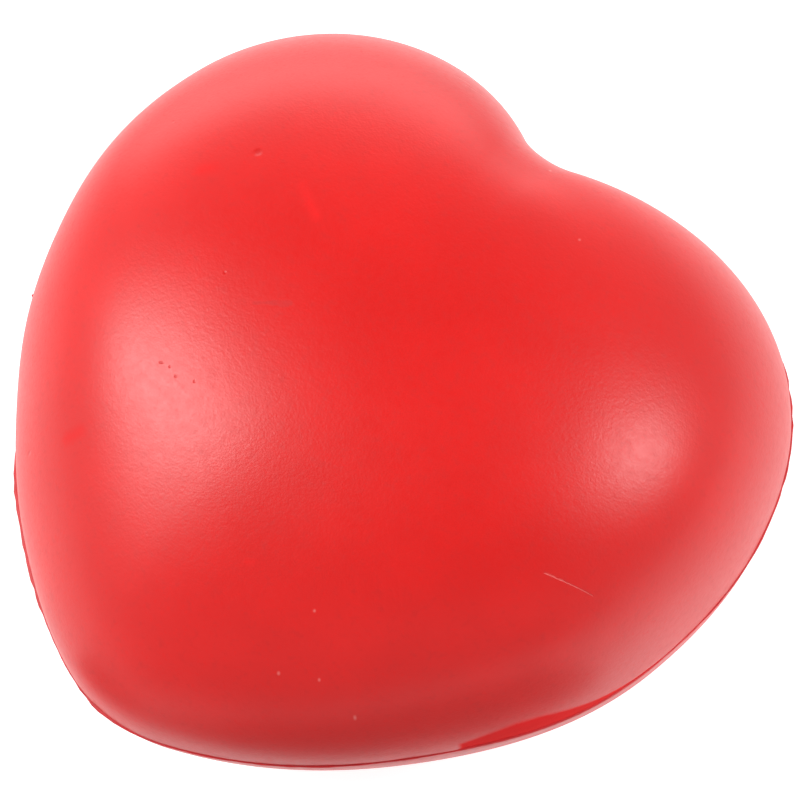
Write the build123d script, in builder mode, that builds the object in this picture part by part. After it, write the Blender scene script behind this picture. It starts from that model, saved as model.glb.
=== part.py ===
from build123d import *
from math import atan2, cos, hypot, pi, radians, sin, sqrt
import os

# A heart-shaped stress ball moulded in flexible foam. All sizes are in millimetres.
# It lies on its rear dome. X runs across the lobes, Y runs from the tip to the lobes, Z is up.
# The origin is under the middle of the outline, on the surface that the rear dome rests on.

# driving dimensions of the outline at the parting plane
lobe_spacing = 32.0
lobe_radius = 21.5
tip_radius = 17.0
lobe_to_tip = 35.0
flank_radius = 49.0
cleft_radius = 6.0

# driving dimensions of the two domes
front_depth = 25.0
rear_depth = 19.0
front_pole_from_lobes = 8.5
rear_pole_from_lobes = 11.5
crown_half_width = 56.0
crown_half_length = 40.0
crown_blend = 2.2

# driving dimensions of the layers
skin_thickness = 0.8
bond_gap = 0.1
flash_thickness = 0.3
flash_stands_proud = 0.45

# how finely the domes are drawn: points on each arc of half the outline, and the level curves
cleft_points = 3
lobe_points = 8
flank_points = 5
tip_points = 4
level_step = 10
last_level = 86

# places worked out from the dimensions
lobe_x = lobe_spacing / 2
lobe_y = (lobe_to_tip + tip_radius - lobe_radius) / 2
tip_y = lobe_y - lobe_to_tip
cleft_y = lobe_y + sqrt((lobe_radius + cleft_radius) ** 2 - lobe_x**2)
front_pole_y = lobe_y - front_pole_from_lobes
rear_pole_y = lobe_y - rear_pole_from_lobes
parting_z = rear_depth
rim_gap = flash_thickness / 2
core_inset = skin_thickness + bond_gap

# centres of the four tangent arcs that make the right half of the outline
cleft_centre = Vector(0, cleft_y)
lobe_centre = Vector(lobe_x, lobe_y)
tip_centre = Vector(0, tip_y)


def flank_arc_centre():
    """Centre of the flank arc, which holds the lobe and tip circles inside it and touches both."""
    to_lobe = flank_radius - lobe_radius
    to_tip = flank_radius - tip_radius
    between = tip_centre - lobe_centre
    along = (to_lobe**2 - to_tip**2 + between.length**2) / (2 * between.length)
    aside = sqrt(to_lobe**2 - along**2)
    direction = between.normalized()
    return lobe_centre + direction * along + Vector(direction.Y, -direction.X) * aside


def bearing(start, end):
    """Direction from one point to another, from +X."""
    return atan2(end.Y - start.Y, end.X - start.X)


flank_centre = flank_arc_centre()
cleft_to_lobe = bearing(cleft_centre, lobe_centre)
lobe_to_cleft = bearing(lobe_centre, cleft_centre)
flank_to_lobe = bearing(flank_centre, lobe_centre)
flank_to_tip = bearing(flank_centre, tip_centre)
downwards = -pi / 2


def half_outline_arcs(inset):
    """The right half's arcs from cleft to tip: centre, radius, first and last bearing, points."""
    return (
        (cleft_centre, cleft_radius + inset, downwards, cleft_to_lobe, cleft_points),
        (lobe_centre, lobe_radius - inset, lobe_to_cleft, flank_to_lobe, lobe_points),
        (flank_centre, flank_radius - inset, flank_to_lobe, flank_to_tip, flank_points),
        (tip_centre, tip_radius - inset, flank_to_tip, downwards, tip_points),
    )


def outline_points(inset):
    """Points round the whole outline, drawn inset from the real one."""
    right = []
    for centre, radius, first, last, count in half_outline_arcs(inset):
        for step in range(count):
            turn = first + (last - first) * step / count
            right.append((centre.X + radius * cos(turn), centre.Y + radius * sin(turn)))
    tip = (0, tip_y - tip_radius + inset)
    left = [(-x, y) for x, y in reversed(right[1:])]
    return [*right, tip, *left]


def level_curve(pole_y, depth, side, inset, climb):
    """One level of a dome: the heart outline at its foot, nearly an ellipse at its crown."""
    crown_share = sin(climb) ** crown_blend
    points = []
    for x, y in outline_points(inset):
        out_y = y - pole_y
        to_crown = 1 / hypot(x / crown_half_width, out_y / crown_half_length)
        scale = cos(climb) * (1 - crown_share + crown_share * to_crown)
        points.append((x * scale, pole_y + out_y * scale))
    height = (depth - inset) * sin(climb)
    with BuildSketch(Plane.XY.offset(parting_z + side * height)) as level:
        with BuildLine():
            Spline(*points, periodic=True)
        make_face()
    return level.sketch


def dome(pole_y, depth, side, inset, mode=Mode.ADD):
    """One dome, lofted from the parting plane up or down to its pole."""
    climbs = [*range(0, last_level, level_step), last_level]
    levels = [level_curve(pole_y, depth, side, inset, radians(climb)) for climb in climbs]
    pole = Vertex(0, pole_y, parting_z + side * (depth - inset))
    loft([*levels, pole], mode=mode)


def heart_outline(inset):
    """The right half's arcs, mirrored to the left."""
    for centre, radius, first, last, _ in half_outline_arcs(inset):
        start = centre + Vector(cos(first), sin(first)) * radius
        middle = centre + Vector(cos((first + last) / 2), sin((first + last) / 2)) * radius
        end = centre + Vector(cos(last), sin(last)) * radius
        ThreePointArc(start, middle, end)
    mirror(about=Plane.YZ)


# front skin: the dense shell of the upper mould half
with BuildPart() as front_skin:
    dome(front_pole_y, front_depth, 1, 0)
    dome(front_pole_y, front_depth, 1, skin_thickness, mode=Mode.SUBTRACT)
    split(bisect_by=Plane.XY.offset(parting_z + rim_gap), keep=Keep.TOP)
front_skin.part.label = "front_skin"

# rear skin: the dense shell of the lower mould half, which the ball rests on
with BuildPart() as rear_skin:
    dome(rear_pole_y, rear_depth, -1, 0)
    dome(rear_pole_y, rear_depth, -1, skin_thickness, mode=Mode.SUBTRACT)
    split(bisect_by=Plane.XY.offset(parting_z - rim_gap), keep=Keep.BOTTOM)
rear_skin.part.label = "rear_skin"

# foam core: the one foam body that fills both skins
with BuildPart() as foam_core:
    dome(front_pole_y, front_depth, 1, core_inset)
    dome(rear_pole_y, rear_depth, -1, core_inset)
foam_core.part.label = "foam_core"

# parting flash: the thin web squeezed out between the mould halves, trimmed just proud of the skins
with BuildPart() as parting_flash:
    with BuildSketch(Plane.XY.offset(parting_z - rim_gap)):
        with BuildLine():
            heart_outline(-flash_stands_proud)
        make_face()
        with BuildLine():
            heart_outline(skin_thickness)
        make_face(mode=Mode.SUBTRACT)
    extrude(amount=flash_thickness)
parting_flash.part.label = "parting_flash"

os.makedirs("parts", exist_ok=True)
export_step(front_skin.part, "parts/front_skin.step")
export_step(rear_skin.part, "parts/rear_skin.step")
export_step(foam_core.part, "parts/foam_core.step")
export_step(parting_flash.part, "parts/parting_flash.step")
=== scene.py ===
import math
import random

import bpy
import numpy as np
from bpy.props import FloatProperty, FloatVectorProperty, IntProperty, PointerProperty
from mathutils import Matrix, Vector


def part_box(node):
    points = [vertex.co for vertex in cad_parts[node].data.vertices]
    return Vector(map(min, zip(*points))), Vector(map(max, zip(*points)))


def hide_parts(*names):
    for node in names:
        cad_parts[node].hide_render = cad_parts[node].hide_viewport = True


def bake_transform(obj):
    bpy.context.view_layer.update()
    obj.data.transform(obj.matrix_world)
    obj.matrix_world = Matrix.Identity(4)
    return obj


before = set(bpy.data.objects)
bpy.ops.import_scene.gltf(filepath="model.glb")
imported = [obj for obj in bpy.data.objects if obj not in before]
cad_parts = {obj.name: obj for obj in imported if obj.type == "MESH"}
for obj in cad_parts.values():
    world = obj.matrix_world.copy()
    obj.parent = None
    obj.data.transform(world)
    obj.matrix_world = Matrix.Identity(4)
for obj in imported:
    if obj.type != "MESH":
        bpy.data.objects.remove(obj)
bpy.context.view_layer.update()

bl_info = {
    "name": "Heart Stress Ball",
    "version": (1, 0, 0),
    "blender": (4, 5, 0),
    "location": "View3D > Sidebar > Stress Ball",
    "description": "Models a moulded foam heart with its skins, foam core, parting flash and studio",
    "category": "Add Mesh",
}

MM = 0.001
FULL_TURN = 2 * math.pi
QUARTER_TURN = math.pi / 2
TINY = 1e-9

# edges sharper than this stay crisp (degrees)
SKIN_CREASE = 35
FLASH_CREASE = 40

# heights and depths that the frame already settles
FLASH_LOW, FLASH_HIGH = (corner.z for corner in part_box("parting_flash"))
PARTING_Z = (FLASH_LOW + FLASH_HIGH) / 2
REST_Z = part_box("rear_skin")[0].z
CROWN_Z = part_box("front_skin")[1].z


def distance(name, description, default):
    """A length that a user can change."""
    return FloatProperty(
        name=name, description=description, default=default, unit="LENGTH", precision=5
    )


def share(name, description, default):
    """A number from 0 to 1 that a user can change."""
    return FloatProperty(
        name=name, description=description, default=default, min=0, max=1, subtype="FACTOR"
    )


def colour(name, description, default):
    """A linear colour that a user can change."""
    return FloatVectorProperty(
        name=name, description=description, default=default, subtype="COLOR", size=3, min=0, max=1
    )


def angle(name, description, degrees):
    """An angle that a user can change."""
    return FloatProperty(
        name=name, description=description, default=math.radians(degrees), subtype="ANGLE"
    )


class BallShape(bpy.types.PropertyGroup):
    """Outline and domes of the moulded heart."""

    lobe_spacing: distance("Lobe Spacing", "Between the centres of the lobes", 32 * MM)
    lobe_radius: distance("Lobe Radius", "Radius of each lobe", 21.5 * MM)
    tip_radius: distance("Tip Radius", "Radius of the tip", 17 * MM)
    lobe_to_tip: distance("Lobe to Tip", "From the lobe line to the tip's centre", 35 * MM)
    flank_radius: distance("Flank Radius", "Radius of the flanks", 49 * MM)
    cleft_radius: distance("Cleft Radius", "Radius at the bottom of the cleft", 6 * MM)
    front_pole: distance("Front Crown", "From the lobe line back to the front crown", 8.5 * MM)
    rear_pole: distance("Rear Crown", "From the lobe line back to the rear crown", 11.5 * MM)
    front_depth: distance("Front Depth", "Height of the front dome", CROWN_Z - PARTING_Z)
    rear_depth: distance("Rear Depth", "Depth of the rear dome", PARTING_Z - REST_Z)
    crown_half_width: distance("Crown Half Width", "How broad the crown's curve is", 56 * MM)
    crown_half_length: distance("Crown Half Length", "How long the crown's curve is", 40 * MM)
    crown_blend: FloatProperty(
        name="Crown Blend", description="How late the heart outline fades", default=2.2
    )
    skin_thickness: distance("Skin Thickness", "Thickness of the dense skin", 0.8 * MM)
    core_inset: distance("Core Inset", "From the skin's face to the foam core", 0.9 * MM)
    edge_round: distance("Edge Round", "Round where a skin meets the flash", 0.12 * MM)
    swell: distance("Swell", "How far the moulding is off its drawn outline", 0.3 * MM)
    flare: distance("Flare", "How far the parting line stands out on one flank", 0.75 * MM)
    bulge: distance("Bulge", "How far the lopsided places stand out", 0.42 * MM)
    waviness: distance("Waviness", "Height of the slow waves in the skin", 0.05 * MM)
    outline_steps: IntProperty(name="Outline Steps", description="Faces round the heart", default=400)
    dome_steps: IntProperty(name="Dome Steps", description="Faces from rim to crown", default=100)


class FlashShape(bpy.types.PropertyGroup):
    """The trimmed web on the parting line."""

    thickness: distance("Thickness", "Thickness of the web", FLASH_HIGH - FLASH_LOW)
    trimmed_reach: distance("Trimmed Reach", "How proud a clean trim leaves it", 0.12 * MM)
    snip_shortest: distance("Shortest Snip", "Shortest cut along the edge", 0.7 * MM)
    snip_longest: distance("Longest Snip", "Longest cut along the edge", 2.4 * MM)
    edge_steps: IntProperty(name="Edge Steps", description="Faces round the web", default=1536)


class BallFinish(bpy.types.PropertyGroup):
    """Colours and surface of the moulded foam."""

    skin_red: colour("Skin Red", "Colour of the satin skin", (0.69, 0.0066, 0.0052))
    trimmed_red: colour("Trimmed Red", "Colour where a blade shaved the skin", (0.86, 0.012, 0.012))
    # mark_red is also used to darken the pit's hollow, as painted shade
    mark_red: colour("Mark Red", "Colour of scuffs and smears", (0.42, 0.006, 0.006))
    flash_red: colour("Flash Red", "Colour of the trimmed web", (0.74, 0.015, 0.021))
    foam_pink: colour("Foam Pink", "Colour of the cut foam", (0.85, 0.22, 0.19))
    skin_roughness: share("Skin Roughness", "Roughness of the satin skin", 0.37)
    pebble_size: distance("Pebble Size", "Size of the fine pebble", 0.42 * MM)
    pebble_height: distance("Pebble Height", "Height of the fine pebble", 0.011 * MM)


class StudioLook(bpy.types.PropertyGroup):
    """Floor, lights and camera."""

    floor_width: distance("Floor Width", "Width of the pale floor", 3.0)
    floor_white: colour("Floor White", "Colour of the floor", (0.5, 0.5, 0.5))
    floor_glow: share("Floor Glow", "How much the floor is lit from below", 0.85)
    camera_distance: distance("Camera Distance", "From the camera to the ball", 350 * MM)
    camera_turn: angle("Camera Turn", "Turn of the camera about the vertical", 48.2)
    camera_tilt: angle("Camera Tilt", "Tilt of the camera from straight down", 21.03)
    camera_roll: angle("Camera Roll", "Roll of the camera", -9.57)
    focal_length: FloatProperty(
        name="Focal Length", description="Focal length on a full-frame sensor", default=154.96
    )


# ---------------------------------------------------------------- the mould


def outline_arcs(shape):
    """The right half's four arcs, from cleft to tip: centre, radius, first and last bearing."""
    lobe_x = shape.lobe_spacing / 2
    lobe_y = lobe_line(shape)
    tip_y = lobe_y - shape.lobe_to_tip
    to_cleft = shape.lobe_radius + shape.cleft_radius
    cleft = Vector((0, lobe_y + math.sqrt(to_cleft**2 - lobe_x**2)))
    lobe = Vector((lobe_x, lobe_y))
    tip = Vector((0, tip_y))
    to_lobe = shape.flank_radius - shape.lobe_radius
    to_tip = shape.flank_radius - shape.tip_radius
    between = tip - lobe
    along = (to_lobe**2 - to_tip**2 + between.length**2) / (2 * between.length)
    aside = math.sqrt(to_lobe**2 - along**2)
    ahead = between.normalized()
    flank = lobe + ahead * along + Vector((ahead.y, -ahead.x)) * aside
    cleft_turn = direction(cleft, lobe)
    lobe_end = direction(flank, lobe)
    flank_end = direction(flank, tip)
    return (
        (cleft, shape.cleft_radius, -QUARTER_TURN, cleft_turn),
        (lobe, shape.lobe_radius, cleft_turn + math.pi, lobe_end),
        (flank, shape.flank_radius, lobe_end, flank_end),
        (tip, shape.tip_radius, flank_end, -QUARTER_TURN),
    )


def lobe_line(shape):
    """Y of the lobes' centres, with the outline's middle at the origin."""
    return (shape.lobe_to_tip + shape.tip_radius - shape.lobe_radius) / 2


def direction(start, end):
    """Direction from one point to another, from +X."""
    return math.atan2(end.y - start.y, end.x - start.x)


def swell_at(bearing, size):
    """How far the real moulding stands out from the drawn outline, by bearing from the cleft."""
    lean = 0.5 * np.sin(bearing)
    oval = np.sin(2 * bearing) + 0.2 * np.cos(2 * bearing)
    three_sided = 0.75 * np.cos(3 * bearing) - 0.85 * np.sin(3 * bearing)
    four_sided = np.cos(4 * bearing) - 0.2 * np.sin(4 * bearing)
    return size * (lean + oval + three_sided + four_sided)


FLARE_BEARING = math.radians(111)
FLARE_HALF_WIDTH = math.radians(30)
FLARE_HEIGHT = 3.2 * MM
# share of the flare by which the rear dome is drawn in again below it
REAR_TUCK = 0.6
# where both domes stand out a little: bearing, half width, share of the bulge
BULGES = (
    (math.radians(190), math.radians(19), 1.0),
    (math.radians(45), math.radians(26), 0.95),
    (math.radians(82), math.radians(17), 0.9),
    (math.radians(241), math.radians(16), 0.6),
)


def apart_from(bearings, middle):
    """How far bearings are from one bearing, the short way round."""
    return np.abs(np.mod(bearings - middle + math.pi, FULL_TURN) - math.pi)


def near(bearings, middle, half_width):
    """1 at a bearing, falling softly to 0 at half_width to either side."""
    return 1 - smoothstep(0, half_width, apart_from(bearings, middle))


def outline_at(shape, shares, inset=0.0):
    """Points on the outline, by the share of the way round from the cleft towards +X."""
    arcs = outline_arcs(shape)
    spans = np.array([abs((last - first) * radius) for _, radius, first, last in arcs])
    ends = np.cumsum(spans) / spans.sum() / 2
    starts = ends - spans / spans.sum() / 2
    shares = np.mod(shares, 1.0)
    mirrored = shares > 0.5
    half = np.where(mirrored, 1 - shares, shares)
    points = np.zeros((len(shares), 2))
    outwards = (-1, 1, 1, 1)
    for (centre, radius, first, last), start, end, outward in zip(arcs, starts, ends, outwards):
        on_arc = (half >= start - TINY) & (half <= end + TINY)
        turn = first + (last - first) * (half[on_arc] - start) / (end - start)
        reach = radius - inset * outward
        points[on_arc, 0] = centre.x + reach * np.cos(turn)
        points[on_arc, 1] = centre.y + reach * np.sin(turn)
    points[mirrored, 0] *= -1
    crown_y = lobe_line(shape) - shape.front_pole
    bearing = np.arctan2(points[:, 0], points[:, 1] - crown_y)
    swell = swell_at(bearing, shape.swell)
    swell += shape.flare * near(bearing, FLARE_BEARING, FLARE_HALF_WIDTH)
    for middle, half_width, part in BULGES:
        swell += shape.bulge * part * near(bearing, middle, half_width)
    points[:, 0] += swell * np.sin(bearing)
    points[:, 1] += swell * np.cos(bearing)
    return points, np.mod(bearing, FULL_TURN)


def dome_points(shape, shares, climb, front, inset=0.0):
    """Points on a dome: the heart outline at its foot, nearly an ellipse at its crown."""
    foot, _ = outline_at(shape, shares, inset)
    pole_y = lobe_line(shape) - (shape.front_pole if front else shape.rear_pole)
    depth = (shape.front_depth if front else shape.rear_depth) - inset
    out_x = foot[:, 0]
    out_y = foot[:, 1] - pole_y
    to_crown = 1 / np.hypot(out_x / shape.crown_half_width, out_y / shape.crown_half_length)
    crown_share = np.sin(climb) ** shape.crown_blend
    scale = np.cos(climb) * (1 - crown_share + crown_share * to_crown)
    side = 1 if front else -1
    return np.stack(
        [out_x * scale, pole_y + out_y * scale, PARTING_Z + side * depth * np.sin(climb)], axis=1
    )


# ------------------------------------------------------------ mesh helpers


def start_clean():
    """Leaves nothing selected, so that an operator acts on the new piece alone."""
    if bpy.context.object and bpy.context.object.mode != "OBJECT":
        bpy.ops.object.mode_set(mode="OBJECT")
    bpy.ops.object.select_all(action="DESELECT")


def read_points(piece):
    """The piece's vertices as rows of x, y, z."""
    points = np.empty(len(piece.data.vertices) * 3)
    piece.data.vertices.foreach_get("co", points)
    return points.reshape(-1, 3)


def write_points(piece, points):
    """Puts the piece's vertices at these rows of x, y, z."""
    piece.data.vertices.foreach_set("co", points.astype(np.float32).ravel())
    piece.data.update()


def faces_outward():
    """Turns every face of the new piece outwards."""
    bpy.ops.object.mode_set(mode="EDIT")
    bpy.ops.mesh.select_all(action="SELECT")
    bpy.ops.mesh.normals_make_consistent(inside=False)
    bpy.ops.object.mode_set(mode="OBJECT")


def smooth(degrees):
    """Shades the new piece smooth, apart from edges sharper than this."""
    bpy.ops.object.shade_smooth_by_angle(angle=math.radians(degrees))


def smoothstep(low, high, value):
    """0 below low, 1 above high, with a soft ramp between."""
    t = np.clip((value - low) / (high - low), 0, 1)
    return t * t * (3 - 2 * t)


def finish_piece(piece, node, material):
    """Hands the piece over: gives it its material, hides the node it stands for and bakes its
    transform.
    """
    piece.data.materials.clear()
    piece.data.materials.append(material)
    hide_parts(node)
    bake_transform(piece)


def slow_waves(points):
    """Waves of uneven moulding, from about -1 to 1."""
    total = np.zeros(len(points))
    for wave, (length, lean, turn) in enumerate(((31, 0.3, 0.7), (23, 1.7, 0.2), (17, 2.6, -0.5))):
        across = points @ (math.cos(lean), math.sin(lean), turn)
        total += 0.4 * np.sin(across * FULL_TURN / (length * MM) + wave * 2.1)
    return total


# the shaved stretch of the front skin: bearing from the cleft (degrees), height (mm)
SHAVE_HEIGHTS = (
    (96, 0.0),
    (104, 0.8),
    (110, 1.7),
    (114, 2.7),
    (119, 4.0),
    (123, 4.1),
    (128, 3.0),
    (131.2, 2.0),
    (131.9, 0.0),
)
SHAVE_DEPTH = 0.1 * MM
# the least height at which the blade left a hollow, and at which it left its colour
SHAVE_LEAST = 0.2 * MM
SHAVE_COLOUR_LEAST = 0.1 * MM
# rows of faces crowd towards the parting line by this power
ROW_CROWDING = 1.35


def shave_height(bearing):
    """How far up the front skin the blade cut: a long taper, widest near its abrupt end."""
    places, heights = np.array(SHAVE_HEIGHTS).T
    return np.interp(np.degrees(bearing), places, heights) * MM


def add_skin(shape, front):
    """One skin as a closed shell: half a sphere moved onto its dome, then given its thickness."""
    start_clean()
    bpy.ops.mesh.primitive_uv_sphere_add(
        segments=shape.outline_steps, ring_count=2 * shape.dome_steps, radius=1
    )
    piece = bpy.context.object
    piece.name = piece.data.name = "front_skin_shell" if front else "rear_skin_shell"
    bpy.ops.object.mode_set(mode="EDIT")
    bpy.ops.mesh.select_all(action="SELECT")
    bpy.ops.mesh.bisect(
        plane_co=(0, 0, 0), plane_no=(0, 0, 1), clear_inner=front, clear_outer=not front
    )
    bpy.ops.object.mode_set(mode="OBJECT")

    ball = read_points(piece)
    shares = np.arctan2(ball[:, 0], ball[:, 1]) / FULL_TURN
    level = np.arcsin(np.clip(np.abs(ball[:, 2]), 0, 1)) / QUARTER_TURN
    depth = shape.front_depth if front else shape.rear_depth
    gap = (FLASH_HIGH - FLASH_LOW) / 2
    rim_climb = math.asin(gap / depth)
    climb = rim_climb + (QUARTER_TURN - rim_climb) * level**ROW_CROWDING
    points = dome_points(shape, shares, climb, front)
    _, bearing = outline_at(shape, shares)

    height = np.abs(points[:, 2] - PARTING_Z) - gap
    below_round = np.clip(shape.edge_round - height, 0, shape.edge_round)
    inset = shape.edge_round - np.sqrt(shape.edge_round**2 - below_round**2)
    flared = near(bearing, FLARE_BEARING, FLARE_HALF_WIDTH)
    inset *= 1 - flared
    if front:
        cut = np.maximum(shave_height(bearing), TINY)
        inset += SHAVE_DEPTH * np.clip(1 - height / cut, 0, 1) * (cut > SHAVE_LEAST)
    else:
        inset += REAR_TUCK * shape.flare * flared * smoothstep(0, FLARE_HEIGHT, height)
    pole_y = lobe_line(shape) - (shape.front_pole if front else shape.rear_pole)
    out = points[:, :2] - (0, pole_y)
    points[:, :2] -= out / np.maximum(np.hypot(*out.T), TINY)[:, None] * inset[:, None]
    reach = points - (0, pole_y, PARTING_Z)
    reach /= np.linalg.norm(reach, axis=1)[:, None]
    points += reach * (shape.waviness * slow_waves(points) * np.clip(height / MM, 0, 1))[:, None]
    write_points(piece, points)
    faces_outward()

    wall = piece.modifiers.new("wall", "SOLIDIFY")
    wall.thickness = shape.skin_thickness
    wall.offset = -1
    bpy.ops.object.modifier_apply(modifier=wall.name)
    smooth(SKIN_CREASE)

    if front:
        points = read_points(piece)
        bearing = np.mod(np.arctan2(points[:, 0], points[:, 1] - pole_y), FULL_TURN)
        height = points[:, 2] - PARTING_Z - gap
        cut = shave_height(bearing)
        mask = 1 - smoothstep(cut * 0.75, cut * 1.05 + 0.05 * MM, height)
        mask *= cut > SHAVE_COLOUR_LEAST
        trimmed = piece.data.attributes.new("trimmed", "FLOAT", "POINT")
        trimmed.data.foreach_set("value", mask.astype(np.float32))
    return piece


CORE_STEPS = 240
CORE_ROWS = 120


def add_core(shape):
    """The foam body: a whole sphere moved onto both domes, inside the skins."""
    start_clean()
    bpy.ops.mesh.primitive_uv_sphere_add(segments=CORE_STEPS, ring_count=CORE_ROWS, radius=1)
    piece = bpy.context.object
    piece.name = piece.data.name = "foam_body"
    ball = read_points(piece)
    shares = np.arctan2(ball[:, 0], ball[:, 1]) / FULL_TURN
    climb = np.arcsin(np.clip(np.abs(ball[:, 2]), 0, 1))
    points = np.where(
        (ball[:, 2] >= 0)[:, None],
        dome_points(shape, shares, climb, True, shape.core_inset),
        dome_points(shape, shares, climb, False, shape.core_inset),
    )
    write_points(piece, points)
    faces_outward()
    smooth(SKIN_CREASE)
    return piece


# where the web was left wider than its clean trim: bearing, half width, extra reach
WIDE_STRETCHES = (
    (math.radians(212), math.radians(16), 0.45 * MM),
    (math.radians(182.5), math.radians(5), 0.14 * MM),
    (math.radians(242), math.radians(9), 0.22 * MM),
    (math.radians(247.6), math.radians(2.2), 1.2 * MM),
    (math.radians(31), math.radians(2), 0.3 * MM),
    (math.radians(50), math.radians(22), 0.12 * MM),
    (math.radians(114), math.radians(30), -0.14 * MM),
)
SNIP_SEED = 5
LEAST_REACH = 0.01 * MM
# share of the skin's thickness in which the web is buried
BURIED = 0.95
# reach at which the web counts as proud of the skins
PROUD_REACH = 0.2 * MM
# share of the web's thickness that a proud edge loses
EDGE_THINNING = 0.35
# the web's section: the lower, the flatter its two faces
SECTION_POWER = 0.4
SECTION_SIDES = 12
RING_RADIUS = 0.1


def snipped_reach(flash, length, bearings, rng):
    """How far the web stands out: short snips that meet in small corners, wider in places."""
    places, reaches = [], []
    place = 0.0
    while place < length:
        snip = rng.uniform(flash.snip_shortest, flash.snip_longest)
        first, last = rng.uniform(0.55, 1.35), rng.uniform(0.55, 1.35)
        places += [place, place + snip / 2, place + snip * 0.96]
        reaches += [first, (first + last) / 2 + rng.uniform(0.05, 0.3), last]
        place += snip
    along = np.linspace(0, length, len(bearings), endpoint=False)
    ragged = np.interp(along, places, reaches)
    wanted = np.full(len(bearings), flash.trimmed_reach)
    for bearing, half_width, extra in WIDE_STRETCHES:
        wanted += extra * np.clip(1 - apart_from(bearings, bearing) / half_width, 0, 1)
    return np.maximum(wanted, LEAST_REACH) * ragged


def add_flash(shape, flash):
    """The web on the parting line: a thin ring whose outer edge was trimmed by hand."""
    start_clean()
    steps = flash.edge_steps
    bpy.ops.mesh.primitive_torus_add(
        major_segments=steps,
        minor_segments=SECTION_SIDES,
        major_radius=1,
        minor_radius=RING_RADIUS,
    )
    piece = bpy.context.object
    piece.name = piece.data.name = "trimmed_flash"
    ring = read_points(piece)
    ring_radius = np.hypot(ring[:, 0], ring[:, 1])
    out = (ring_radius - 1) / RING_RADIUS
    up = ring[:, 2] / RING_RADIUS
    around = np.mod(np.arctan2(ring[:, 0], ring[:, 1]) / FULL_TURN, 1.0)
    step = np.rint(around * steps).astype(int) % steps

    step_shares = np.arange(steps) / steps
    edge, bearings = outline_at(shape, step_shares)
    tangent = np.roll(edge, -1, axis=0) - np.roll(edge, 1, axis=0)
    normal = np.stack([-tangent[:, 1], tangent[:, 0]], axis=1)
    normal /= np.hypot(*normal.T)[:, None]
    length = np.hypot(*(np.roll(edge, -1, axis=0) - edge).T).sum()
    rng = random.Random(SNIP_SEED)
    reach = snipped_reach(flash, length, bearings, rng)
    buried = -shape.skin_thickness * BURIED
    offset = buried + (reach[step] - buried) * (out + 1) / 2
    proud = np.clip(reach[step] / PROUD_REACH, 0, 1)
    thinning = 1 - EDGE_THINNING * (out + 1) / 2 * proud
    points = np.empty_like(ring)
    points[:, :2] = edge[step] + normal[step] * offset[:, None]
    half = flash.thickness / 2
    points[:, 2] = PARTING_Z + half * thinning * np.sign(up) * np.abs(up) ** SECTION_POWER
    write_points(piece, points)
    faces_outward()
    smooth(FLASH_CREASE)
    cut = piece.data.attributes.new("cut_edge", "FLOAT", "POINT")
    cut.data.foreach_set("value", (smoothstep(0.3, 1.0, out) * proud).astype(np.float32))
    return piece


# --------------------------------------------------------------- materials


class Wire:
    """A shader socket that takes part in Python expressions."""

    def __init__(self, graph, socket):
        self.graph = graph
        self.socket = socket

    def math(self, operation, first, second):
        return self.graph.node("Math", {"operation": operation}, {0: first, 1: second})

    def __add__(self, other):
        return self.math("ADD", self, other)

    def __sub__(self, other):
        return self.math("SUBTRACT", self, other)

    def __rsub__(self, other):
        return self.math("SUBTRACT", other, self)

    def __mul__(self, other):
        return self.math("MULTIPLY", self, other)

    def __truediv__(self, other):
        return self.math("DIVIDE", self, other)

    __radd__ = __add__
    __rmul__ = __mul__


class Graph:
    """The node tree of one material."""

    def __init__(self, name):
        self.material = bpy.data.materials.new(name)
        self.material.use_nodes = True
        self.tree = self.material.node_tree
        self.tree.nodes.clear()

    def node(self, kind, settings=None, inputs=None, output=0):
        """Adds a node, with its settings first and then its sockets' values or links."""
        made = self.tree.nodes.new("ShaderNode" + kind)
        for key, value in (settings or {}).items():
            setattr(made, key, value)
        for key, value in (inputs or {}).items():
            if isinstance(value, Wire):
                self.tree.links.new(value.socket, made.inputs[key])
            else:
                made.inputs[key].default_value = value
        return Wire(self, made.outputs[output])

    def noise(self, place, size, detail=2.0):
        """Noise from 0 to 1 whose waves are about this long."""
        return self.node(
            "TexNoise",
            {"noise_dimensions": "3D"},
            {"Vector": place, "Scale": 1 / size, "Detail": detail, "Roughness": 0.5},
        )

    def ramp(self, value, low, high):
        """0 below low, 1 above high, with a soft ramp between."""
        return self.node(
            "MapRange",
            {"interpolation_type": "SMOOTHSTEP"},
            {"Value": value, "From Min": low, "From Max": high, "To Min": 0.0, "To Max": 1.0},
        )

    def mix(self, factor, first, second):
        """First colour where factor is 0, second where it is 1."""
        return self.node(
            "Mix", {"data_type": "RGBA"}, {"Factor": factor, 6: first, 7: second}, output=2
        )

    def vector(self, operation, first, second=(0, 0, 0), output=0):
        """A Vector Math node."""
        return self.node("VectorMath", {"operation": operation}, {0: first, 1: second}, output)

    def bump(self, height, relief):
        """Bends the normal by a height from 0 to 1 that stands this far out."""
        return self.node("Bump", None, {"Height": height, "Strength": 1.0, "Distance": relief})

    def finish(self, surface):
        """Links the shader to the output and gives the material."""
        output = self.tree.nodes.new("ShaderNodeOutputMaterial")
        self.tree.links.new(surface.socket, output.inputs["Surface"])
        return self.material


def rgba(tone, gain=1.0):
    """A colour with alpha, made lighter or darker."""
    return (*(min(channel * gain, 1.0) for channel in tone), 1.0)


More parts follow.
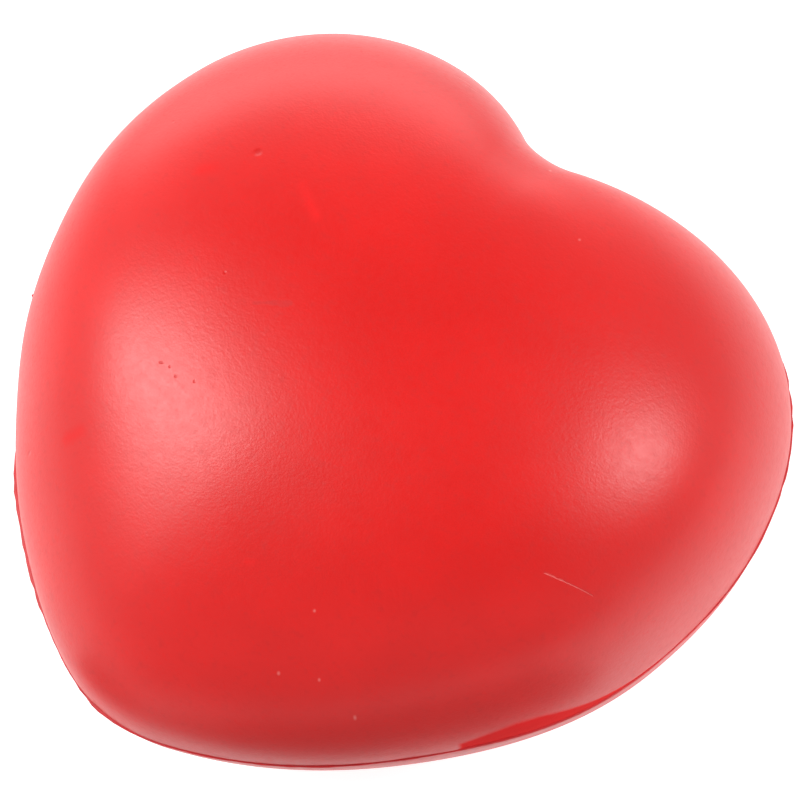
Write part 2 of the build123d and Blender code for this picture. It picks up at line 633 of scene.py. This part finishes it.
def stroke(graph, flat_place, start, end, half_width, softness):
    """A mask along a line across the front, seen from above: 1 on the line, 0 beyond its width."""
    start, end = Vector((*start, 0)) * MM, Vector((*end, 0)) * MM
    run = end - start
    from_start = graph.vector("SUBTRACT", flat_place, tuple(start))
    if run.length > 0:
        along = graph.vector("DOT_PRODUCT", from_start, tuple(run / run.length_squared), output=1)
        along = graph.node("Clamp", None, {0: along, 1: 0.0, 2: 1.0})
        nearest = graph.node("CombineXYZ", None, {0: along * run.x, 1: along * run.y})
        from_start = graph.vector("SUBTRACT", from_start, nearest)
    away = graph.vector("LENGTH", from_start, output=1)
    return 1 - graph.ramp(away, half_width * (1 - softness) * MM, half_width * MM)


PALE_DOT_TONE = (0.9, 0.35, 0.32)
PALE_SCRATCH_TONE = (0.9, 0.25, 0.22)
SHAVED_ROUGHNESS = 0.8
SHAVED_SPECULAR = 0.12
# marks on the front skin, seen from above: start and end (mm), half width (mm), softness
PALE_SCRATCHES = (
    ((27.8, -3.7), (29.4, -3.1), 0.13, 1.0),
    ((29.4, -3.1), (32.2, -2.1), 0.07, 1.0),
    ((-12.4, 32.4), (-10.4, 32.6), 0.07, 1.0),
    ((-10.6, 32.0), (-8.0, 32.4), 0.07, 1.0),
)
DARK_SCUFFS = (
    ((-9.5, -0.9), (-7.6, 0.5), 0.3, 1.0),
    ((-7.9, 0.2), (-6.6, 1.1), 0.5, 1.0),
    ((-7.2, 0.6), (-6.8, 0.9), 0.5, 1.0),
)
FAINT_SMEARS = (
    ((-23.0, 7.0), (-22.2, 7.9), 1.3, 1.0),
    ((-13.6, 11.3), (-10.4, 9.5), 0.9, 1.0),
    ((-17.6, -20.4), (-16.8, -19.4), 1.1, 1.0),
    ((5.0, -20.0), (5.6, -19.6), 0.5, 1.0),
)
# a small round pit: dented in the bump and drawn darker, as painted shade in its hollow
ROUND_PIT = ((-19.7, 11.7), (-19.7, 11.7), 0.55, 0.8)
DARK_DOTS = (
    ((-29.7, 10.1), (-29.7, 10.1), 0.25, 1.0),
    ((-13.8, -0.1), (-13.8, -0.1), 0.25, 1.0),
    ((-21.6, -23.0), (-21.6, -23.0), 0.35, 1.0),
    ((-13.5, -10.4), (-13.3, -10.3), 0.16, 1.0),
    ((-12.4, -10.2), (-12.4, -10.2), 0.2, 1.0),
    ((-11.3, -10.6), (-11.3, -10.6), 0.22, 1.0),
    ((-9.4, -10.0), (-9.4, -10.0), 0.2, 1.0),
)
PALE_DOTS = (
    ((2.6, 28.9), (2.6, 28.9), 0.22, 1.0),
    ((10.2, 23.9), (10.2, 23.9), 0.22, 1.0),
    ((12.8, -19.5), (12.8, -19.5), 0.22, 1.0),
    ((12.9, -25.5), (12.9, -25.5), 0.25, 1.0),
    ((16.3, -23.6), (16.3, -23.6), 0.22, 1.0),
    ((20.4, -23.7), (20.4, -23.7), 0.25, 1.0),
)


def strokes(graph, flat_place, marks):
    """One mask for several marks."""
    total = 0
    for mark in marks:
        total = stroke(graph, flat_place, *mark) + total
    return total


def skin_material(name, finish, marked):
    """Satin red skin with a fine pebble; the front one has its marks."""
    graph = Graph(name)
    place = graph.node("TexCoord", output=3)
    cloud = graph.noise(place, 17 * MM, 2.0)
    blotch = graph.noise(place, 4.5 * MM, 2.0)
    mottle = graph.noise(place, 0.8 * MM, 2.0)
    pebble = graph.noise(place, finish.pebble_size, 1.5)
    fine = graph.noise(place, finish.pebble_size / 2, 1.0)
    peel = graph.noise(place, 2.2 * MM, 1.0)

    red = finish.skin_red
    tone = graph.mix(graph.ramp(cloud, 0.3, 0.7), rgba(red, 0.95), rgba(red, 1.04))
    tone = graph.mix(graph.ramp(blotch, 0.35, 0.7) * 0.35, tone, rgba(red, 0.9))
    tone = graph.mix(graph.ramp(mottle, 0.5, 0.85) * 0.3, tone, rgba(finish.mark_red, 1.2))
    rough = finish.skin_roughness + (cloud - 0.5) * 0.08 + (mottle - 0.5) * 0.1
    height = pebble + fine * 0.5 + peel * 0.8
    if marked:
        flat = graph.vector("MULTIPLY", place, (1, 1, 0))
        frayed = graph.ramp(graph.noise(place, 0.6 * MM, 2.0), 0.35, 0.6)
        scratch = strokes(graph, flat, PALE_SCRATCHES)
        scuffs = graph.ramp(strokes(graph, flat, DARK_SCUFFS), 0.0, 1.1) * (0.6 + frayed * 0.4)
        smears = strokes(graph, flat, FAINT_SMEARS)
        pit = stroke(graph, flat, *ROUND_PIT)
        dark_dots = strokes(graph, flat, DARK_DOTS)
        pale_dots = strokes(graph, flat, PALE_DOTS)
        trimmed = graph.node("Attribute", {"attribute_name": "trimmed"}, output=2)
        tone = graph.mix(smears * 0.08, tone, rgba(finish.mark_red))
        tone = graph.mix(scuffs * 0.85, tone, rgba(finish.mark_red, 1.2))
        # painted shade: the pit's hollow is drawn darker, on top of its dent in the bump
        tone = graph.mix(pit * 0.4, tone, rgba(finish.mark_red))
        tone = graph.mix(dark_dots * 0.3, tone, rgba(finish.mark_red))
        tone = graph.mix(pale_dots * 0.35, tone, rgba(PALE_DOT_TONE))
        tone = graph.mix(scratch * frayed * 0.25, tone, rgba(PALE_SCRATCH_TONE))
        rough = rough + scuffs * 0.12 + smears * 0.05
        height = height - scratch * 3 - pit * 4.5 - dark_dots * 2.5
    normal = graph.bump(height, finish.pebble_height)
    shader = graph.node(
        "BsdfPrincipled", None, {"Base Color": tone, "Roughness": rough, "Normal": normal}
    )
    if marked:
        shaved_red = finish.trimmed_red
        shaved_tone = graph.mix(blotch, rgba(shaved_red, 1.1), rgba(shaved_red, 0.85))
        shaved = graph.node(
            "BsdfPrincipled",
            None,
            {
                "Base Color": shaved_tone,
                "Roughness": SHAVED_ROUGHNESS,
                "Normal": normal,
                "Specular IOR Level": SHAVED_SPECULAR,
            },
        )
        speckle = graph.ramp(graph.noise(place, 0.34 * MM, 1.0), 0.55, 0.75)
        dulled = trimmed + smears * 0.4 + scuffs * 0.15 + speckle * 0.14
        shader = graph.node("MixShader", None, {0: dulled, 1: shader, 2: shaved})
    return graph.finish(shader)


GRAIN_HEIGHT = 0.02 * MM


def flash_material(finish):
    """Matt saturated red web, darker at its cut edge."""
    graph = Graph("trimmed_flash_red")
    place = graph.node("TexCoord", output=3)
    grain = graph.noise(place, 0.5 * MM, 3.0)
    patch = graph.noise(place, 3 * MM, 2.0)
    cut = graph.node("Attribute", {"attribute_name": "cut_edge"}, output=2)
    red = finish.flash_red
    tone = graph.mix(graph.ramp(patch, 0.3, 0.7), rgba(red), rgba(red, 0.85))
    tone = graph.mix(cut * 0.35, tone, rgba(red, 0.5))
    tone = graph.mix(graph.ramp(grain, 0.55, 0.8) * 0.3, tone, rgba(finish.mark_red, 1.2))
    shader = graph.node(
        "BsdfPrincipled",
        None,
        {
            "Base Color": tone,
            "Roughness": 0.5 + (grain - 0.5) * 0.15,
            "Normal": graph.bump(grain, GRAIN_HEIGHT),
        },
    )
    return graph.finish(shader)


CELL_SIZE = 0.7 * MM
CELL_DEPTH = 0.15 * MM


def foam_material(finish):
    """Pale open-cell foam, with painted shade in the hollow of each cell."""
    graph = Graph("open_cell_foam")
    place = graph.node("TexCoord", output=3)
    cells = graph.node(
        "TexVoronoi", {"feature": "F1"}, {"Vector": place, "Scale": 1 / CELL_SIZE}
    )
    fine = graph.noise(place, 0.3 * MM, 2.0)
    pink = finish.foam_pink
    # painted shade: the colour darkens towards each cell's middle, where the bump sinks into a hollow
    tone = graph.mix(graph.ramp(cells, 0.1, 0.6), rgba(pink, 0.6), rgba(pink, 1.05))
    shader = graph.node(
        "BsdfPrincipled",
        None,
        {
            "Base Color": tone,
            "Roughness": 0.85 + (fine - 0.5) * 0.1,
            "Normal": graph.bump(cells + fine * 0.3, CELL_DEPTH),
        },
    )
    return graph.finish(shader)


def floor_material(studio):
    """Matt white table paper."""
    graph = Graph("studio_floor_white")
    place = graph.node("TexCoord", output=3)
    fibre = graph.noise(place, 1.5 * MM, 2.0)
    tone = graph.mix(fibre * 0.2, rgba(studio.floor_white), rgba(studio.floor_white, 0.97))
    shader = graph.node(
        "BsdfPrincipled",
        None,
        {
            "Base Color": tone,
            "Roughness": 0.9,
            "Emission Color": (1.0, 1.0, 1.0, 1.0),
            "Emission Strength": studio.floor_glow,
        },
    )
    return graph.finish(shader)


# ------------------------------------------------------------------- stage


# softboxes: way to it from the ball, distance, width, height, radiance
SOFTBOXES = (
    ("left_softbox", (-0.57, -0.39, 0.72), 0.6, 0.17, 0.31, 15),
    ("right_softbox", (0.54, 0.42, 0.73), 0.6, 0.16, 0.24, 14.5),
    ("back_panel", (-0.70, 0.62, 0.22), 0.9, 1.2, 0.4, 2.4),
)


def add_softbox(name, toward, reach, width, height, radiance):
    """A rectangular softbox that faces the ball, hidden from the camera."""
    start_clean()
    aim = (0, 0, PARTING_Z)
    away = Vector(toward).normalized()
    bpy.ops.object.light_add(type="AREA", location=Vector(aim) + away * reach)
    light = bpy.context.object
    light.name = name
    light.data.shape = "RECTANGLE"
    light.data.size = width
    light.data.size_y = height
    light.data.energy = radiance * math.pi * width * height
    light.rotation_mode = "QUATERNION"
    light.rotation_quaternion = away.to_track_quat("Z", "Y")
    light.visible_camera = False


FLAG_GREY = (0.28, 0.28, 0.28)

# dark cards on the near side (mm): middle of the edge by the ball, way out from it, length,
# depth, height of the far edge
FLAGS = (
    ("flank_flag", (24.4, -40.4, 1.2), (0.77, -0.64), 88, 70, 1.2),
    ("tip_flag", (-6, -58, 1.6), (-0.35, -0.94), 34, 60, 1.6),
    ("near_flag", (100, -150, 2.0), (0.55, -0.83), 380, 60, 110),
)


def add_flag(name, edge, toward, length, depth, rise):
    """A dark card that keeps the floor's glow off the near side, hidden from the camera."""
    start_clean()
    bpy.ops.mesh.primitive_plane_add(size=1)
    card = bpy.context.object
    card.name = name
    out = Vector((*toward, 0)).normalized()
    across = Vector((-out.y, out.x, 0))
    for vertex in card.data.vertices:
        away = 0.5 - vertex.co.y
        place = Vector(edge) + across * vertex.co.x * length + out * away * depth
        place.z = edge[2] + (rise - edge[2]) * away
        vertex.co = place * MM
    graph = Graph(name + "_grey")
    weave = graph.noise(graph.node("TexCoord", output=3), 1.5 * MM, 2.0)
    tone = graph.mix(weave, rgba(FLAG_GREY, 0.9), rgba(FLAG_GREY, 1.1))
    shader = graph.node("BsdfPrincipled", None, {"Base Color": tone, "Roughness": 0.9})
    card.data.materials.append(graph.finish(shader))
    card.visible_camera = False


HORIZON_LIGHT = 1.1
ZENITH_LIGHT = 0.2


def set_world():
    """Pale surround: bright near the horizon, dim overhead."""
    world = bpy.data.worlds.new("studio_surround")
    bpy.context.scene.world = world
    world.use_nodes = True
    tree = world.node_tree
    tree.nodes.clear()
    place = tree.nodes.new("ShaderNodeTexCoord")
    split = tree.nodes.new("ShaderNodeSeparateXYZ")
    span = tree.nodes.new("ShaderNodeMapRange")
    span.inputs["From Min"].default_value = 0.1
    span.inputs["From Max"].default_value = 0.9
    span.inputs["To Min"].default_value = HORIZON_LIGHT
    span.inputs["To Max"].default_value = ZENITH_LIGHT
    background = tree.nodes.new("ShaderNodeBackground")
    output = tree.nodes.new("ShaderNodeOutputWorld")
    tree.links.new(place.outputs["Generated"], split.inputs[0])
    tree.links.new(split.outputs["Z"], span.inputs["Value"])
    tree.links.new(span.outputs[0], background.inputs["Strength"])
    tree.links.new(background.outputs[0], output.inputs[0])


# the point in the ball that the camera looks at
CAMERA_AIM = Vector((0.14, 6.79, 16.79)) * MM


def add_camera(studio):
    """The camera: turned, tilted and rolled about a point in the ball."""
    turn = (
        Matrix.Rotation(studio.camera_turn, 4, "Z")
        @ Matrix.Rotation(studio.camera_tilt, 4, "X")
        @ Matrix.Rotation(studio.camera_roll, 4, "Z")
    )
    start_clean()
    bpy.ops.object.camera_add()
    camera = bpy.context.object
    camera.name = "studio_camera"
    camera.matrix_world = (
        Matrix.Translation(CAMERA_AIM) @ turn @ Matrix.Translation((0, 0, studio.camera_distance))
    )
    camera.data.lens = studio.focal_length
    camera.data.sensor_width = 36
    camera.data.clip_start = 10 * MM
    camera.data.clip_end = 10
    bpy.context.scene.camera = camera


# --------------------------------------------------------------- operators


class STRESS_BALL_OT_front_skin(bpy.types.Operator):
    """Model the front skin, which the upper mould half shaped"""

    bl_idname = "stress_ball.front_skin"
    bl_label = "Front Skin"

    def execute(self, context):
        scene = context.scene
        piece = add_skin(scene.ball_shape, front=True)
        material = skin_material("front_skin_satin_red", scene.ball_finish, marked=True)
        finish_piece(piece, "front_skin", material)
        return {"FINISHED"}


class STRESS_BALL_OT_rear_skin(bpy.types.Operator):
    """Model the rear skin, which the ball rests on"""

    bl_idname = "stress_ball.rear_skin"
    bl_label = "Rear Skin"

    def execute(self, context):
        scene = context.scene
        piece = add_skin(scene.ball_shape, front=False)
        material = skin_material("rear_skin_satin_red", scene.ball_finish, marked=False)
        finish_piece(piece, "rear_skin", material)
        return {"FINISHED"}


class STRESS_BALL_OT_foam_core(bpy.types.Operator):
    """Model the foam body that fills both skins"""

    bl_idname = "stress_ball.foam_core"
    bl_label = "Foam Core"

    def execute(self, context):
        scene = context.scene
        piece = add_core(scene.ball_shape)
        finish_piece(piece, "foam_core", foam_material(scene.ball_finish))
        return {"FINISHED"}


class STRESS_BALL_OT_parting_flash(bpy.types.Operator):
    """Model the trimmed web on the parting line"""

    bl_idname = "stress_ball.parting_flash"
    bl_label = "Parting Flash"

    def execute(self, context):
        scene = context.scene
        piece = add_flash(scene.ball_shape, scene.flash_shape)
        finish_piece(piece, "parting_flash", flash_material(scene.ball_finish))
        return {"FINISHED"}


class STRESS_BALL_OT_studio(bpy.types.Operator):
    """Set up the pale floor, the soft lights and the camera"""

    bl_idname = "stress_ball.studio"
    bl_label = "Studio"

    def execute(self, context):
        studio = context.scene.studio_look
        start_clean()
        bpy.ops.mesh.primitive_plane_add(size=studio.floor_width, location=(0, 0, REST_Z))
        floor = context.object
        floor.name = "studio_floor"
        bpy.ops.object.transform_apply(location=True, rotation=True, scale=True)
        floor.data.materials.append(floor_material(studio))
        for softbox in SOFTBOXES:
            add_softbox(*softbox)
        for flag in FLAGS:
            add_flag(*flag)
        set_world()
        add_camera(studio)
        context.scene.view_settings.view_transform = "Standard"
        return {"FINISHED"}


PIECE_OPERATORS = (
    STRESS_BALL_OT_front_skin,
    STRESS_BALL_OT_rear_skin,
    STRESS_BALL_OT_foam_core,
    STRESS_BALL_OT_parting_flash,
    STRESS_BALL_OT_studio,
)
SETTINGS = (
    ("ball_shape", BallShape),
    ("flash_shape", FlashShape),
    ("ball_finish", BallFinish),
    ("studio_look", StudioLook),
)


class STRESS_BALL_PT_sidebar(bpy.types.Panel):
    """Lists the ball's pieces and settings"""

    bl_idname = "STRESS_BALL_PT_sidebar"
    bl_label = "Heart Stress Ball"
    bl_space_type = "VIEW_3D"
    bl_region_type = "UI"
    bl_category = "Stress Ball"

    def draw(self, context):
        for operator in PIECE_OPERATORS:
            self.layout.operator(operator.bl_idname)
        for name, group in SETTINGS:
            box = self.layout.box()
            box.label(text=group.__doc__)
            for prop in group.__annotations__:
                box.prop(getattr(context.scene, name), prop)


CLASSES = (*(group for _, group in SETTINGS), *PIECE_OPERATORS, STRESS_BALL_PT_sidebar)


def register():
    for cls in CLASSES:
        bpy.utils.register_class(cls)
    for name, group in SETTINGS:
        setattr(bpy.types.Scene, name, PointerProperty(type=group))


def unregister():
    for name, _ in SETTINGS:
        delattr(bpy.types.Scene, name)
    for cls in reversed(CLASSES):
        bpy.utils.unregister_class(cls)


def main():
    register()
    bpy.ops.stress_ball.front_skin()
    bpy.ops.stress_ball.rear_skin()
    bpy.ops.stress_ball.foam_core()
    bpy.ops.stress_ball.parting_flash()
    bpy.ops.stress_ball.studio()


if __name__ == "__main__":
    main()
